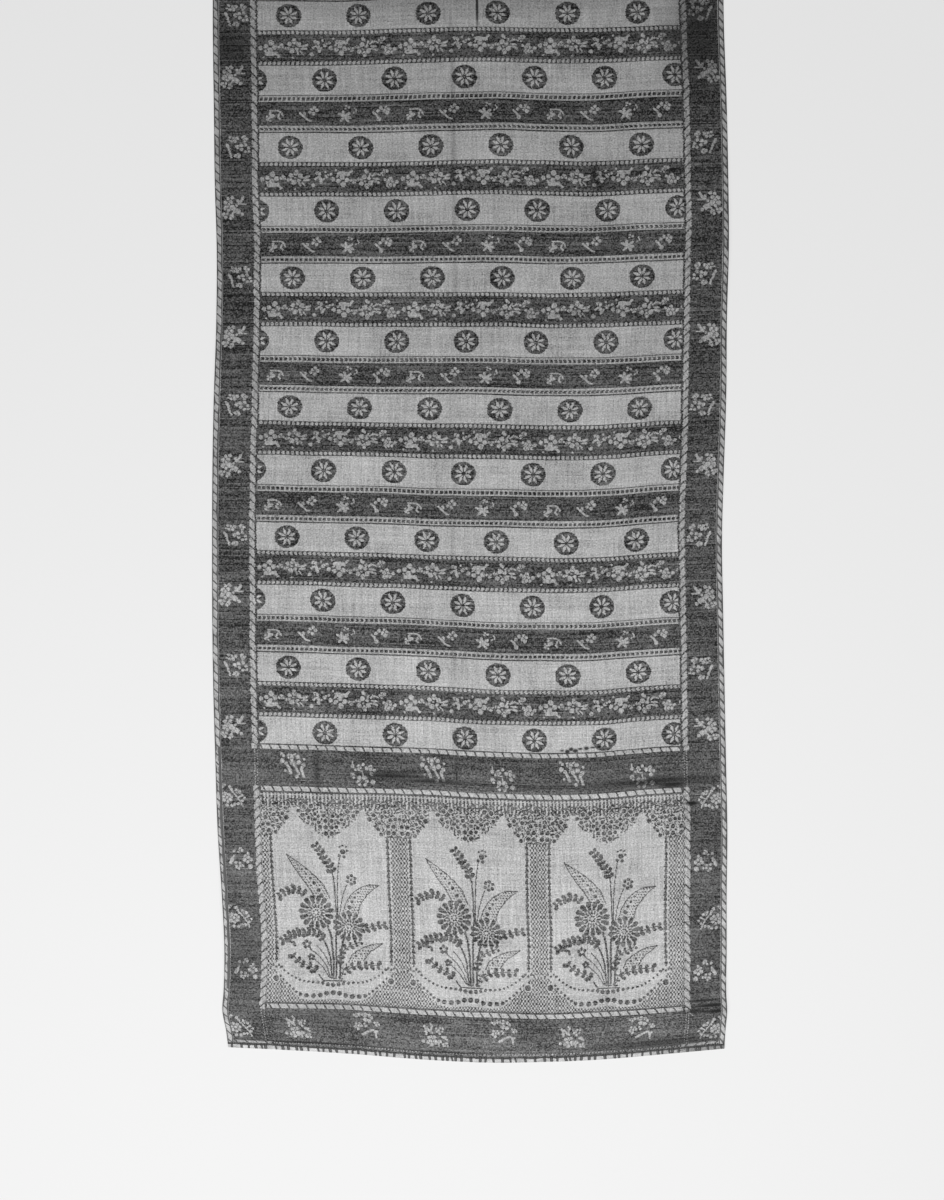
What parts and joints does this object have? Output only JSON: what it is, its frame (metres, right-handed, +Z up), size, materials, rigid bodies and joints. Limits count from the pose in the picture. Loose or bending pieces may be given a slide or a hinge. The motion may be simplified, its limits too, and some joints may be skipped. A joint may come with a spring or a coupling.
{
  "type": "silk sash",
  "caption": "Long narrow patterned silk sash laid out flat, with corded selvages, striped field, floral side borders and a niche panel at each end.",
  "frame": {"origin": "on the surface that the sash lies on, under the middle of its bounding box", "axes": "+X across the sash to the right as the picture shows it, +Y along it away from the end that the picture shows, +Z up out of the cloth's face"},
  "size_m": [0.3478, 3.2878, 0.0036],
  "materials": {
    "silk": "patterned silk with a soft sheen",
    "selvage_cord": "corded silk edge",
    "hem_roll": "rolled and overcast silk edge"
  },
  "bodies": {
    "root": {"cloth": "silk", "selvage_left": "selvage_cord", "selvage_right": "selvage_cord", "hem_near": "hem_roll", "hem_far": "hem_roll"}
  },
  "joints": []
}
